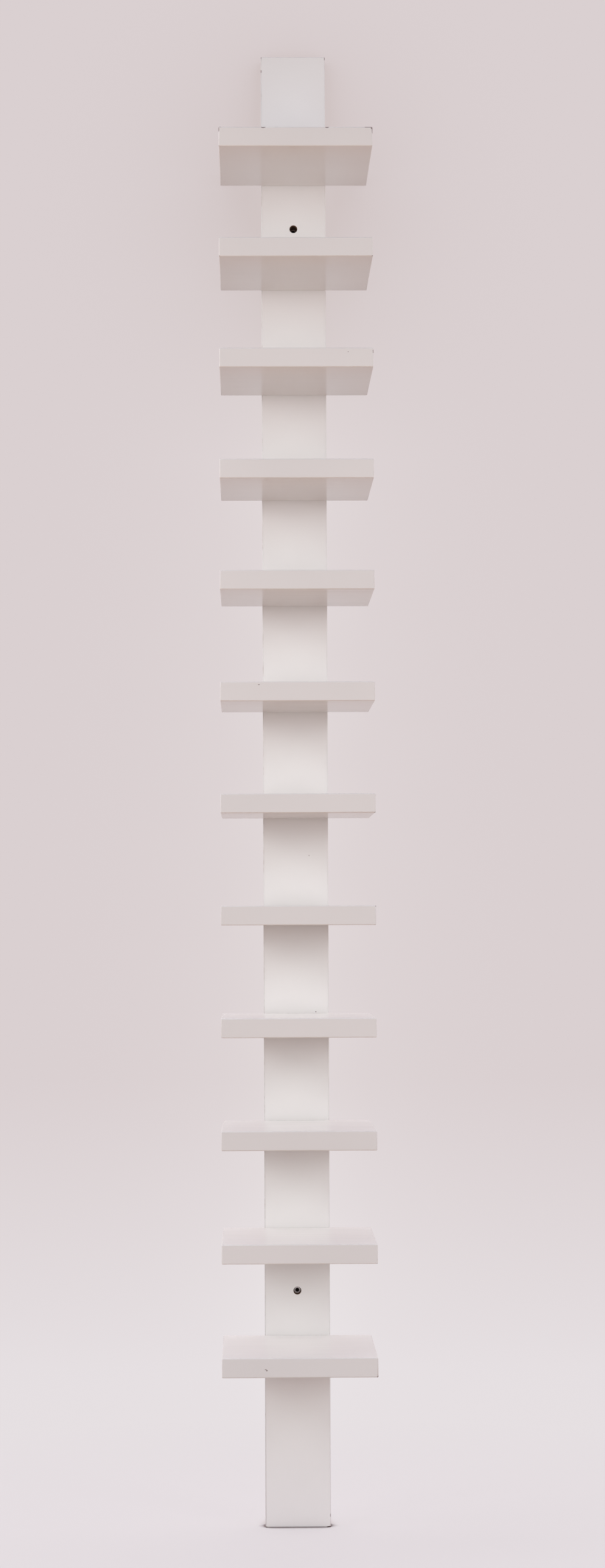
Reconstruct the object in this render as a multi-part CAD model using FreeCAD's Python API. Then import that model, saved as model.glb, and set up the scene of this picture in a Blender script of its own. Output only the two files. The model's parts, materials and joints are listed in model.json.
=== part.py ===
# Spine bookshelf: twelve shelf boards butted on the front of one upright board, the spine, which
# stands on the floor and is screwed to the wall behind it. Millimetres, +Z up, +X to the right and
# +Y into the wall. The origin is on the floor, in the wall's plane, at the middle of the spine.

import FreeCAD, Part
import math
import os

# Boards
SHELF_COUNT = 12
SHELF_WIDTH = 200.0
SHELF_DEPTH = 225.0
SHELF_THICKNESS = 25.0
SPINE_HEIGHT = 2000.0
FOOT_HEIGHT = 232.0        # floor to the underside of the lowest shelf
HEAD_HEIGHT = 153.5        # top of the highest shelf to the top of the spine
SPINE_WIDTH = 88.0
SPINE_THICKNESS = 25.0
EDGE_ROUND = 1.2           # sanded round on the boards' edges

# Dowels, two to a shelf
DOWEL_DIAMETER = 8.0
DOWEL_IN_SHELF = 25.0
DOWEL_COVER = 10.0         # wood left in the spine behind a dowel's hole
DOWEL_FROM_EDGE = 10.0     # spine's edge to a dowel's middle
DOWEL_CHAMFER = 1.0
DOWEL_CLEARANCE = 0.05     # round the dowel
DOWEL_END_ROOM = 1.0       # for glue, at each end of the dowel

# Shelf screws, two to a shelf, driven from behind
SCREW_DIAMETER = 5.0
SCREW_IN_SHELF = 35.0
SCREW_FROM_DOWEL = 14.0    # middle to middle
SCREW_HEAD_LIP = 2.5       # how far the countersunk head stands out past the shank
SCREW_HEAD_SINK = 0.5      # the head's face below the spine's back
SCREW_RECESS_RIM = 2.6     # head left round the hexagon recess
SCREW_RECESS_DEPTH = 2.0
SCREW_TIP_LENGTH = 5.0
SCREW_TIP_DIAMETER = 1.0
SCREW_CLEARANCE = 0.05     # round the shank and under the head
SCREW_END_ROOM = 1.0

# Wall holes and the wall screw
WALL_SCREW_DIAMETER = 6.0      # over the thread
WALL_SCREW_NECK_STEP = 0.25    # the plain neck's radius is this much less than the thread's
WALL_SCREW_IN_WALL = 45.0
WALL_SCREW_HEAD_LIP = 1.9
WALL_SCREW_HEAD_HEIGHT = 6.0
WALL_SCREW_HEAD_CHAMFER = 0.6
WALL_SCREW_SOCKET_RIM = 2.0    # head left round the hexagon socket
WALL_SCREW_SOCKET_DEPTH = 3.0
WALL_SCREW_TIP_LENGTH = 6.0
WALL_SCREW_TIP_DIAMETER = 1.5
WALL_HOLE_WEB = 10.0           # wood left under the screw's head
WALL_HOLE_CLEARANCE = 0.25     # round the shank
WALL_RECESS_CLEARANCE = 0.35   # round the head
LOWER_WALL_GAP = 1             # gap above this shelf, counted from the floor
UPPER_WALL_GAP = SHELF_COUNT - 1

# Places that follow from the sizes: the shelves are spread evenly between the foot and the head
SHELVED_HEIGHT = SPINE_HEIGHT - FOOT_HEIGHT - HEAD_HEIGHT
PITCH = (SHELVED_HEIGHT - SHELF_THICKNESS) / (SHELF_COUNT - 1)
SHELF_GAP = PITCH - SHELF_THICKNESS
SPINE_FRONT = -SPINE_THICKNESS
SHELF_FRONT = SPINE_FRONT - SHELF_DEPTH
DOWEL_X = SPINE_WIDTH / 2 - DOWEL_FROM_EDGE
SCREW_X = DOWEL_X - SCREW_FROM_DOWEL
WALL_RECESS_RADIUS = WALL_SCREW_DIAMETER / 2 + WALL_SCREW_HEAD_LIP + WALL_RECESS_CLEARANCE
WALL_HOLE_RADIUS = WALL_SCREW_DIAMETER / 2 + WALL_HOLE_CLEARANCE

TO_WALL = FreeCAD.Vector(0, 1, 0)
TO_ROOM = FreeCAD.Vector(0, -1, 0)
HEXAGON_CORNERS = 6


def shelf_underside(number):
    """Height of a shelf's underside; shelf 1 is the lowest."""
    return FOOT_HEIGHT + (number - 1) * PITCH


def shelf_middle(number):
    return shelf_underside(number) + SHELF_THICKNESS / 2


def gap_middle(number):
    """Middle height of the gap above a shelf."""
    return shelf_underside(number) + SHELF_THICKNESS + SHELF_GAP / 2


WALL_HOLE_HEIGHTS = [gap_middle(LOWER_WALL_GAP), gap_middle(UPPER_WALL_GAP)]
SHELF_NUMBERS = range(1, SHELF_COUNT + 1)


def both_sides(distance):
    return [-distance, distance]


def cylinder(radius, start, length, direction):
    return Part.makeCylinder(radius, length, start, direction)


def turned(profile, start, direction):
    """A turned solid: (radius, distance along the axis) points, closed on the axis."""
    points = [FreeCAD.Vector(radius, 0, along) for radius, along in profile]
    face = Part.Face(Part.makePolygon(points + points[:1]))
    solid = face.revolve(FreeCAD.Vector(0, 0, 0), FreeCAD.Vector(0, 0, 1), 360)
    turn = FreeCAD.Rotation(FreeCAD.Vector(0, 0, 1), direction)
    solid.Placement = FreeCAD.Placement(start, turn)
    return solid


def hexagon_recess(corner_radius, mouth, depth, direction):
    """A hexagon prism that goes in from its mouth."""
    turn = FreeCAD.Rotation(FreeCAD.Vector(0, 0, 1), direction)
    corners = []
    for step in range(HEXAGON_CORNERS):
        angle = math.tau * step / HEXAGON_CORNERS
        corner = FreeCAD.Vector(corner_radius * math.cos(angle), corner_radius * math.sin(angle), 0)
        corners.append(mouth + turn.multVec(corner))
    outline = Part.Face(Part.makePolygon(corners + corners[:1]))
    return outline.extrude(FreeCAD.Vector(direction) * depth)


def board(width, front, back, bottom, top):
    """A square-edged board, centred on the spine's middle."""
    low = FreeCAD.Vector(-width / 2, front, bottom)
    return Part.makeBox(width, back - front, top - bottom, low)


def dowel_holes(number):
    """Holes for one shelf's dowels, through both boards."""
    depth = SPINE_THICKNESS - DOWEL_COVER + DOWEL_IN_SHELF + DOWEL_END_ROOM
    radius = DOWEL_DIAMETER / 2 + DOWEL_CLEARANCE
    holes = []
    for x in both_sides(DOWEL_X):
        start = FreeCAD.Vector(x, -DOWEL_COVER, shelf_middle(number))
        holes.append(cylinder(radius, start, depth, TO_ROOM))
    return holes


def dowels(number):
    length = SPINE_THICKNESS - DOWEL_COVER - DOWEL_END_ROOM + DOWEL_IN_SHELF
    radius = DOWEL_DIAMETER / 2
    profile = [
        (0, 0),
        (radius - DOWEL_CHAMFER, 0),
        (radius, DOWEL_CHAMFER),
        (radius, length - DOWEL_CHAMFER),
        (radius - DOWEL_CHAMFER, length),
        (0, length),
    ]
    pegs = []
    for x in both_sides(DOWEL_X):
        start = FreeCAD.Vector(x, -DOWEL_COVER - DOWEL_END_ROOM, shelf_middle(number))
        pegs.append(turned(profile, start, TO_ROOM))
    return pegs


def screw_holes(number):
    """Countersunk holes for one shelf's screws, through the spine and into the shelf."""
    radius = SCREW_DIAMETER / 2 + SCREW_CLEARANCE
    mouth = radius + SCREW_HEAD_LIP
    end = SPINE_THICKNESS + SCREW_IN_SHELF + SCREW_END_ROOM
    profile = [
        (0, 0),
        (mouth, 0),
        (mouth, SCREW_HEAD_SINK),
        (radius, SCREW_HEAD_SINK + SCREW_HEAD_LIP),
        (radius, end),
        (0, end),
    ]
    holes = []
    for x in both_sides(SCREW_X):
        holes.append(turned(profile, FreeCAD.Vector(x, 0, shelf_middle(number)), TO_ROOM))
    return holes


def shelf_screws(number):
    radius = SCREW_DIAMETER / 2
    head = radius + SCREW_HEAD_LIP
    tip = SPINE_THICKNESS + SCREW_IN_SHELF
    profile = [
        (0, SCREW_HEAD_SINK),
        (head, SCREW_HEAD_SINK),
        (radius, SCREW_HEAD_SINK + SCREW_HEAD_LIP),
        (radius, tip - SCREW_TIP_LENGTH),
        (SCREW_TIP_DIAMETER / 2, tip),
        (0, tip),
    ]
    screws = []
    for x in both_sides(SCREW_X):
        start = FreeCAD.Vector(x, 0, shelf_middle(number))
        mouth = start + TO_ROOM * SCREW_HEAD_SINK
        recess = hexagon_recess(head - SCREW_RECESS_RIM, mouth, SCREW_RECESS_DEPTH, TO_ROOM)
        screws.append(turned(profile, start, TO_ROOM).cut(recess))
    return screws


def wall_hole(height):
    """A hole through the spine for a wall screw, opened from the front for the screw's head."""
    back = FreeCAD.Vector(0, 0, height)
    shank = cylinder(WALL_HOLE_RADIUS, back, SPINE_THICKNESS, TO_ROOM)
    floor = FreeCAD.Vector(0, -WALL_HOLE_WEB, height)
    recess = cylinder(WALL_RECESS_RADIUS, floor, SPINE_THICKNESS - WALL_HOLE_WEB, TO_ROOM)
    return shank.fuse(recess)


def wall_screw(height):
    """A cap-headed screw: its head bears on the web, and its threaded tail goes into the wall."""
    radius = WALL_SCREW_DIAMETER / 2
    head = radius + WALL_SCREW_HEAD_LIP
    neck = radius - WALL_SCREW_NECK_STEP
    wall = WALL_SCREW_HEAD_HEIGHT + WALL_HOLE_WEB
    tip = wall + WALL_SCREW_IN_WALL
    profile = [
        (0, 0),
        (head - WALL_SCREW_HEAD_CHAMFER, 0),
        (head, WALL_SCREW_HEAD_CHAMFER),
        (head, WALL_SCREW_HEAD_HEIGHT),
        (neck, WALL_SCREW_HEAD_HEIGHT),
        (neck, wall),
        (radius, wall),
        (radius, tip - WALL_SCREW_TIP_LENGTH),
        (WALL_SCREW_TIP_DIAMETER / 2, tip),
        (0, tip),
    ]
    face = FreeCAD.Vector(0, -WALL_HOLE_WEB - WALL_SCREW_HEAD_HEIGHT, height)
    corner_radius = head - WALL_SCREW_SOCKET_RIM
    socket = hexagon_recess(corner_radius, face, WALL_SCREW_SOCKET_DEPTH, TO_WALL)
    return turned(profile, face, TO_WALL).cut(socket)


def spine():
    """The upright, sanded round on every edge but those that lie on the wall."""
    blank = board(SPINE_WIDTH, SPINE_FRONT, 0, 0, SPINE_HEIGHT)
    off_the_wall = [edge for edge in blank.Edges if edge.BoundBox.YMin < -EDGE_ROUND]
    holes = [wall_hole(height) for height in WALL_HOLE_HEIGHTS]
    for number in SHELF_NUMBERS:
        holes += dowel_holes(number) + screw_holes(number)
    return blank.makeFillet(EDGE_ROUND, off_the_wall).cut(holes)


def shelf(number):
    """One shelf, sanded round on all its edges, with its rear edge bored for dowels and screws."""
    bottom = shelf_underside(number)
    blank = board(SHELF_WIDTH, SHELF_FRONT, SPINE_FRONT, bottom, bottom + SHELF_THICKNESS)
    sanded = blank.makeFillet(EDGE_ROUND, blank.Edges)
    return sanded.cut(dowel_holes(number) + screw_holes(number))


def group(pieces_of_a_shelf):
    """Like pieces from every shelf, as separate solids."""
    pieces = []
    for number in SHELF_NUMBERS:
        pieces += pieces_of_a_shelf(number)
    return Part.Compound(pieces)


def write(node, shape):
    if not shape.isValid():
        raise ValueError(node + " is not a sound solid")
    shape.exportStep("parts/" + node + ".step")


os.makedirs("parts", exist_ok=True)
write("spine", spine())
for shelf_number in SHELF_NUMBERS:
    write("shelf_%02d" % shelf_number, shelf(shelf_number))
write("shelf_dowels", group(dowels))
write("shelf_screws", group(shelf_screws))
write("wall_screw", wall_screw(WALL_HOLE_HEIGHTS[0]))
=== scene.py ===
# Spine bookshelf: painted boards with bored holes and knocked edges, screws and dowels, in a pale
# studio. Metres, +Z up, +X to the right and +Y into the wall, as in the frame.

import json
import math

import bmesh
import bpy
from mathutils import Matrix, Vector, noise


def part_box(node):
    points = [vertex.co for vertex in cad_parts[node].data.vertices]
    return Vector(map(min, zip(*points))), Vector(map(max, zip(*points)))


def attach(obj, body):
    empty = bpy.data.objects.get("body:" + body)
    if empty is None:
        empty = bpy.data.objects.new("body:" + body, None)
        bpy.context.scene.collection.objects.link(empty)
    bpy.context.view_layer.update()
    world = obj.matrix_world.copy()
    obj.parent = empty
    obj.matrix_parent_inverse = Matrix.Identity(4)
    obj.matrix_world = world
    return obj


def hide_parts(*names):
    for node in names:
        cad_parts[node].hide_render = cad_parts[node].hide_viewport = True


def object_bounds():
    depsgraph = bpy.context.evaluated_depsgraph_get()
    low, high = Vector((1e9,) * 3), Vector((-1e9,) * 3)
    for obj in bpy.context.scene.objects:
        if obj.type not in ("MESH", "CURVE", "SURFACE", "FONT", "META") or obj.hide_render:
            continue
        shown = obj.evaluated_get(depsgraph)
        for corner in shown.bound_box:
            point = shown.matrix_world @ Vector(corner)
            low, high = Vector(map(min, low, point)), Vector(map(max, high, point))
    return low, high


bl_info = {
    "name": "Spine Bookshelf",
    "version": (1, 0, 0),
    "blender": (4, 5, 0),
    "location": "3D View > Sidebar > Bookshelf",
    "description": "Painted boards, screws and dowels of a spine bookshelf, in a pale studio",
    "category": "Object",
}

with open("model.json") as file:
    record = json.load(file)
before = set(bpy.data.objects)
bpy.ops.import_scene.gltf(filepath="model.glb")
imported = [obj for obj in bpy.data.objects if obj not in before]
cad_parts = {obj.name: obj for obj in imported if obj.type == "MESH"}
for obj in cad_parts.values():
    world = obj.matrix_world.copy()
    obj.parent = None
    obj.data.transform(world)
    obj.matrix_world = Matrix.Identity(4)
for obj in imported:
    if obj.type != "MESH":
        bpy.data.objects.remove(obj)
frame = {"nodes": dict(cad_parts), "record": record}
CAD_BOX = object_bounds()

MM = 0.001
BODY = "root"
TO_WALL = Vector((0, 1, 0))
TO_ROOM = Vector((0, -1, 0))
PAINTED, BARE, KNOCKED = 0, 1, 2       # material slots of a board

# Places taken from the frame
SHELF_NODES = sorted(node for node in frame["nodes"] if node[-2:].isdigit())
MOUNTS = {mount["name"]: mount for mount in frame["record"]["mounts"]}
SPINE_LOW, SPINE_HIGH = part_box("spine")
DOWEL_LOW, DOWEL_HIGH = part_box("shelf_dowels")
SCREW_LOW, SCREW_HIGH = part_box("shelf_screws")
WALL_SCREW_LOW, WALL_SCREW_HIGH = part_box("wall_screw")
WALL_SCREW_AXIS = (WALL_SCREW_LOW + WALL_SCREW_HIGH) / 2
UPPER_HOLE_AXIS = Vector(MOUNTS["upper_wall_hole"]["pos_m"])

# Holes in the boards
WALL_HOLE_RADIUS = MOUNTS["upper_wall_hole"]["dims"]["r_mm"] * MM
WALL_RECESS_RADIUS = MOUNTS["upper_head_recess"]["dims"]["r_mm"] * MM
WALL_RECESS_DEPTH = MOUNTS["upper_head_recess"]["dims"]["length_mm"] * MM
HOLE_FLARE = 0.1 * MM      # paint worn back round a hole's mouth
HOLE_SHADE_DEPTH = 13.0 * MM    # depth at which a hole's wall is darkest, as painted shade
CUT_MARGIN = 1.0 * MM      # how far a cutter stands out of the board
HOLE_CLEARANCE = 0.05 * MM
HOLE_END_ROOM = 1.0 * MM
HOLE_STEPS = 48

# Dowels
DOWEL_RADIUS = 4.0 * MM
DOWEL_CHAMFER = 1.0 * MM
DOWEL_FLUTES = 16
DOWEL_FLUTE_DEPTH = 0.25 * MM
DOWEL_STEPS_PER_FLUTE = 3
DOWEL_X = DOWEL_HIGH.x - DOWEL_RADIUS

# Shelf screws
SCREW_RADIUS = 2.5 * MM
SCREW_ROOT_RADIUS = 1.75 * MM
SCREW_HEAD_RADIUS = 5.0 * MM
SCREW_HEAD_EDGE = 0.25 * MM
SCREW_PITCH = 2.2 * MM
SCREW_TIP_LENGTH = 5.0 * MM
SCREW_SOCKET_RADIUS = 2.4 * MM
SCREW_SOCKET_DEPTH = 2.0 * MM
SCREW_DISH = 0.3 * MM      # how far the head's face is dished towards its socket
SCREW_X = SCREW_HIGH.x - SCREW_HEAD_RADIUS

# Wall screw
WALL_SCREW_RADIUS = 3.0 * MM
WALL_SCREW_ROOT_RADIUS = 2.2 * MM
WALL_SCREW_NECK_RADIUS = 2.75 * MM
WALL_SCREW_HEAD_RADIUS = 4.9 * MM
WALL_SCREW_HEAD_HEIGHT = 6.0 * MM
WALL_SCREW_HEAD_ROUND = 0.6 * MM
WALL_SCREW_HEAD_STEPS = 3      # steps in the round of the head's edge
WALL_SCREW_PITCH = 2.6 * MM
WALL_SCREW_TIP_LENGTH = 6.0 * MM
WALL_SCREW_SOCKET_RADIUS = 2.9 * MM
WALL_SCREW_SOCKET_DEPTH = 4.5 * MM
WALL_SCREW_DISH = 0.2 * MM     # depth of the worn dish round the socket
WALL_SCREW_DISH_WIDTH = 0.9 * MM

# Both kinds of screw
WORN, SOCKET_SHADE_SLOT = 1, 2         # material slots of a screw after its plating: worn steel, and the socket's painted shade
TIP_RADIUS = 0.5 * MM
THREAD_SINK = 0.2 * MM     # how far a thread's foot lies inside the screw's core
THREAD_WIDTH = 0.55        # foot of the thread, as a share of the pitch
THREAD_START = 0.1         # height of the thread where it starts, as a share of its full height
THREAD_STEPS = 24          # steps in a turn of the thread
TURNED_STEPS = 48
HEXAGON = 6

# Every shape
QUARTER_TURN = math.radians(90)
SHARP_ANGLE = math.radians(30)     # a turned piece stays sharp where its faces meet at more than this
FLAT = 0.9999              # a face is flat where its normal is this near to an axis
WELD = 0.001 * MM

# Knocks in the paint: board, where on it (share of its width, depth and height), half sizes in mm
KNOCKS = [
    ("shelf_12", (0.972, 0.00, 1.00), (6.0, 1.2, 1.1)),
    ("shelf_12", (1.00, 0.00, 0.96), (2.4, 1.4, 2.2)),
    ("shelf_12", (1.00, 0.00, 0.80), (0.9, 1.0, 5.0)),
    ("shelf_12", (0.375, 0.00, 1.00), (8.0, 0.7, 0.5)),
    ("shelf_12", (0.00, 0.00, 0.88), (0.9, 1.0, 3.8)),
    ("shelf_12", (0.01, 0.00, 1.00), (2.0, 0.8, 0.7)),
    # The knocks at 0.29 and 0.705 on the top shelf's front top edge are dark cuts in line with the
    # spine's sides.
    ("shelf_12", (0.29, 0.00, 1.00), (3.2, 1.6, 1.7)),
    ("shelf_12", (0.705, 0.00, 1.00), (2.8, 1.6, 1.6)),
    ("shelf_12", (0.00, 0.00, 0.00), (1.2, 1.1, 1.2)),
    ("shelf_11", (0.00, 0.00, 0.00), (1.6, 1.1, 1.0)),
    ("shelf_11", (1.00, 0.00, 0.00), (2.0, 1.2, 1.2)),
    ("shelf_10", (1.00, 0.00, 0.80), (0.9, 1.0, 3.0)),
    ("shelf_10", (0.836, 0.00, 0.785), (0.8, 0.4, 0.45)),
    ("shelf_07", (0.25, 0.00, 0.84), (1.4, 0.4, 0.5)),
    ("shelf_06", (1.00, 0.00, 0.00), (2.2, 1.1, 1.1)),
    ("shelf_05", (1.00, 0.00, 1.00), (1.2, 1.2, 2.0)),
    ("shelf_02", (1.00, 0.00, 0.00), (1.2, 1.1, 1.4)),
    ("shelf_01", (1.00, 0.00, 0.00), (2.0, 1.3, 2.6)),
    ("shelf_01", (0.287, 0.00, 0.38), (1.0, 0.55, 0.8)),
    ("shelf_01", (0.279, 0.00, 0.43), (1.4, 0.35, 0.45)),
    ("spine", (0.00, 0.00, 1.00), (1.3, 1.2, 2.0)),
    ("spine", (1.00, 0.00, 0.999), (1.0, 1.1, 3.0)),
    ("spine", (0.00, 0.00, 0.990), (1.2, 1.2, 2.4)),
    ("spine", (0.706, 0.00, 0.452), (0.55, 0.5, 0.8)),
    ("spine", (0.80, 0.00, 0.3462), (0.8, 0.5, 0.7)),
    ("spine", (0.00, 0.00, 0.00), (3.0, 1.6, 1.6)),
    ("spine", (1.00, 0.00, 0.00), (6.0, 1.8, 1.8)),
    ("spine", (1.00, 0.00, 0.008), (1.0, 1.0, 3.0)),
]
KNOCK_ROUGHNESS = 0.18     # how ragged a knock is, as a share of its size
KNOCK_GRAIN = 1.7          # lumps across a knock

# Patterns in the finishes: grains in repeats a metre, shades from dark to pale as shares of a colour
GRAIN_SPAN = (0.3, 0.7)    # the part of the noise that a pattern's shades spread over
PAINT_DRIFT = 5.0
PAINT_SHADES = (0.975, 1.02)
PAINT_STIPPLE = 900.0
STIPPLE_DEPTH = 0.003 * MM
STROKE_ACROSS = 420.0
STROKE_ALONG = 9.0
STROKE_DEPTH = 0.0025 * MM
STROKE_SHEEN = 0.02        # how far the strokes change the paint's roughness, up and down
ALONG_X, ALONG_Z = 0, 2    # which way a board's strokes run
EDGE_WEAR_GRAIN = 55.0
EDGE_WEAR_SPAN = (0.5, 0.72)   # the part of the noise where an edge's painted shade turns to rubbed dirt
EDGE_SHADED = 0.86         # share of the paint's colour that an edge round keeps under painted shade
EDGE_WEAR_AND_SHADE = 0.12           # how far the edge rounds darken, from 0 to 1: painted shade that dulls their lit rims, and rubbed dirt in patches
LEFT_EDGE_SHADE = {"spine": 1.0}    # boards whose left edge rounds are darkened further, a painted shade line down their left side
FIBRE_GRAIN = 1600.0
FIBRE_SHADES = (0.6, 1.45)
FIBRE_DEPTH = 0.2 * MM
FIBRE_ROUGHNESS = 0.95
# Tones inside a hole: the fibre's own at the mouth, and darker further in as painted shade
HOLE_MOUTH_SHADES = (0.7, 1.4)
HOLE_DEEP_PAINTED_SHADE = (0.35, 0.8)
METAL_MOTTLE = 900.0
METAL_SHADES = (0.82, 1.08)
METAL_FINE = 6000.0
METAL_FINE_DEPTH = 0.004 * MM
METAL_SHEEN = (-0.06, 0.08)    # how far the fine scratches change the plating's roughness
ZINC_ROUGHNESS = 0.34
NICKEL_ROUGHNESS = 0.26
WORN_ROUGHNESS = 0.12
BEECH_ACROSS = 900.0
BEECH_ALONG = 40.0
BEECH_SHADES = (0.72, 1.15)
BEECH_DEPTH = 0.06 * MM
BEECH_ROUGHNESS = 0.7

# Studio
FLOOR_RADIUS = 1.2
FLOOR_SEGMENTS = 96
FLOOR_FADE = (0.15, 0.9)   # distances over which the floor's shade fades out
FLOOR_BOUNCE = (0.25, 0.55)    # distances over which the light from the floor fades out
FLOOR_BOUNCE_SHARE = 0.7
FOOT_REACH = 22.0 * MM     # how near the foot the floor is in full shade
FOOT_OPEN = (0.5, 0.85)    # how open the floor is there: closed in full shade, and open
WALL_HALF_WIDTH = 1.2
WALL_TOP = 3.2
WALL_REACH = 0.3           # how far from the boards the wall is shaded
WALL_RISE = (1.45, 1.85)   # heights between which the wall's shade grows
WALL_GLOW_RISE = (0.0, 0.3)    # heights between which the wall's glow grows
WALL_CLOSED = 0.8          # how dark the wall is in a corner of the boards, where 1 is black
WALL_TINTED = 0.4          # how dark it is where it first has its full shade
WALL_BEHIND = 0.6 * MM
HOLE_REACH = 25.0 * MM     # how far the wall behind a hole looks out for daylight
HOLE_OPEN = (0.15, 0.35)   # how open the wall is there: in the dark, and out of it
OPENNESS_SAMPLES = 16
# Slopes of the sight lines where the floor's tone turns to the wall's, and where the floor ends in front
BACKDROP_BEND = (-0.14, -0.05)
FLOOR_SIGHT = (-0.45, -0.3)
ROOM_SHARE = 0.5           # how much of the backdrop's tone shines from the room in front
AIR_STRENGTH = 2.0
AIR_TURN = (-0.1, 0.1)     # how far along Y the light in front turns to the light behind
# Light of the air by the height that it comes from: 0 straight below, 0.5 level and 1 straight above
AIR_IN_FRONT = [
    (0.0, (0.29, 0.16, 0.09)),
    (0.25, (0.165, 0.08, 0.03)),
    (0.42, (0.07, 0.05, 0.04)),
    (0.5, (0.385, 0.345, 0.375)),
    (0.64, (0.585, 0.65, 0.625)),
    (0.8, (0.09, 0.055, 0.135)),
    (1.0, (0.0, 0.0, 0.0)),
]
AIR_BEHIND = [
    (0.0, (0.05, 0.03, 0.03)),
    (0.42, (0.16, 0.11, 0.10)),
    (0.5, (0.40, 0.38, 0.39)),
    (0.64, (0.77, 0.74, 0.76)),
    (0.8, (0.90, 0.86, 0.88)),
    (1.0, (0.60, 0.57, 0.58)),
]
# Softboxes: where they stand, and their widths and heights
FRONT_SOFTBOXES = [(-1.77, -1.87, 1.12), (1.77, -1.87, 1.12)]
FRONT_SOFTBOX_SIZE = (0.8, 1.5)
LEFT_SOFTBOX = (-1.74, -0.57, 1.7)
RIGHT_SOFTBOX = (1.74, -0.57, 1.7)
SIDE_SOFTBOX_SIZE = (0.8, 0.8)
SOFTBOX_TINT = (0.985, 0.995, 1.03)
SENSOR = 36.0              # millimetres, along the picture's long side


class BookshelfSizes(bpy.types.PropertyGroup):
    """Sizes of the boards' edges."""

    edge_round: bpy.props.FloatProperty(
        name="Edge round",
        description="Radius of the sanded round on the boards' edges",
        default=1.2 * MM,
        min=0.1 * MM,
        max=5.0 * MM,
        precision=4,
        unit="LENGTH",
    )
    edge_steps: bpy.props.IntProperty(
        name="Edge steps",
        description="Faces across the round of an edge",
        default=4,
        min=1,
        max=12,
    )


class BookshelfFinish(bpy.types.PropertyGroup):
    """Colours of the paint, wood and metal."""

    paint: bpy.props.FloatVectorProperty(
        name="Paint",
        description="Satin white paint on the boards",
        default=(0.80, 0.775, 0.755),
        min=0.0,
        max=1.0,
        subtype="COLOR",
    )
    paint_roughness: bpy.props.FloatProperty(
        name="Paint roughness",
        description="How far the paint's sheen spreads",
        default=0.17,
        min=0.0,
        max=1.0,
        subtype="FACTOR",
    )
    paint_ior: bpy.props.FloatProperty(
        name="Paint index",
        description="Refractive index of the paint's skin",
        default=1.3,
        min=1.0,
        max=3.0,
    )
    rubbed_edge: bpy.props.FloatVectorProperty(
        name="Rubbed edge",
        description="Grubby paint where hands have rubbed the edges",
        default=(0.56, 0.50, 0.475),
        min=0.0,
        max=1.0,
        subtype="COLOR",
    )
    fibreboard: bpy.props.FloatVectorProperty(
        name="Bare fibreboard",
        description="Fibreboard inside the holes",
        default=(0.24, 0.15, 0.105),
        min=0.0,
        max=1.0,
        subtype="COLOR",
    )
    knocked: bpy.props.FloatVectorProperty(
        name="Knocked paint",
        description="Grimy ground where a knock has taken the paint off",
        default=(0.31, 0.25, 0.245),
        min=0.0,
        max=1.0,
        subtype="COLOR",
    )
    beech: bpy.props.FloatVectorProperty(
        name="Beech",
        description="Bare wood of the dowels",
        default=(0.62, 0.45, 0.28),
        min=0.0,
        max=1.0,
        subtype="COLOR",
    )
    zinc: bpy.props.FloatVectorProperty(
        name="Zinc",
        description="Plating of the shelf screws",
        default=(0.66, 0.66, 0.64),
        min=0.0,
        max=1.0,
        subtype="COLOR",
    )
    nickel: bpy.props.FloatVectorProperty(
        name="Dark nickel",
        description="Plating of the wall screw",
        default=(0.55, 0.53, 0.50),
        min=0.0,
        max=1.0,
        subtype="COLOR",
    )
    worn_steel: bpy.props.FloatVectorProperty(
        name="Worn steel",
        description="Bare steel where the key has rubbed the wall screw's plating off",
        default=(0.52, 0.48, 0.48),
        min=0.0,
        max=1.0,
        subtype="COLOR",
    )
    # Near-black colour for the screws' sockets: painted shade in their hollows.
    socket_shade: bpy.props.FloatVectorProperty(
        name="Grime",
        description="Old grease and dust in the screws' sockets",
        default=(0.035, 0.025, 0.02),
        min=0.0,
        max=1.0,
        subtype="COLOR",
    )


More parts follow.
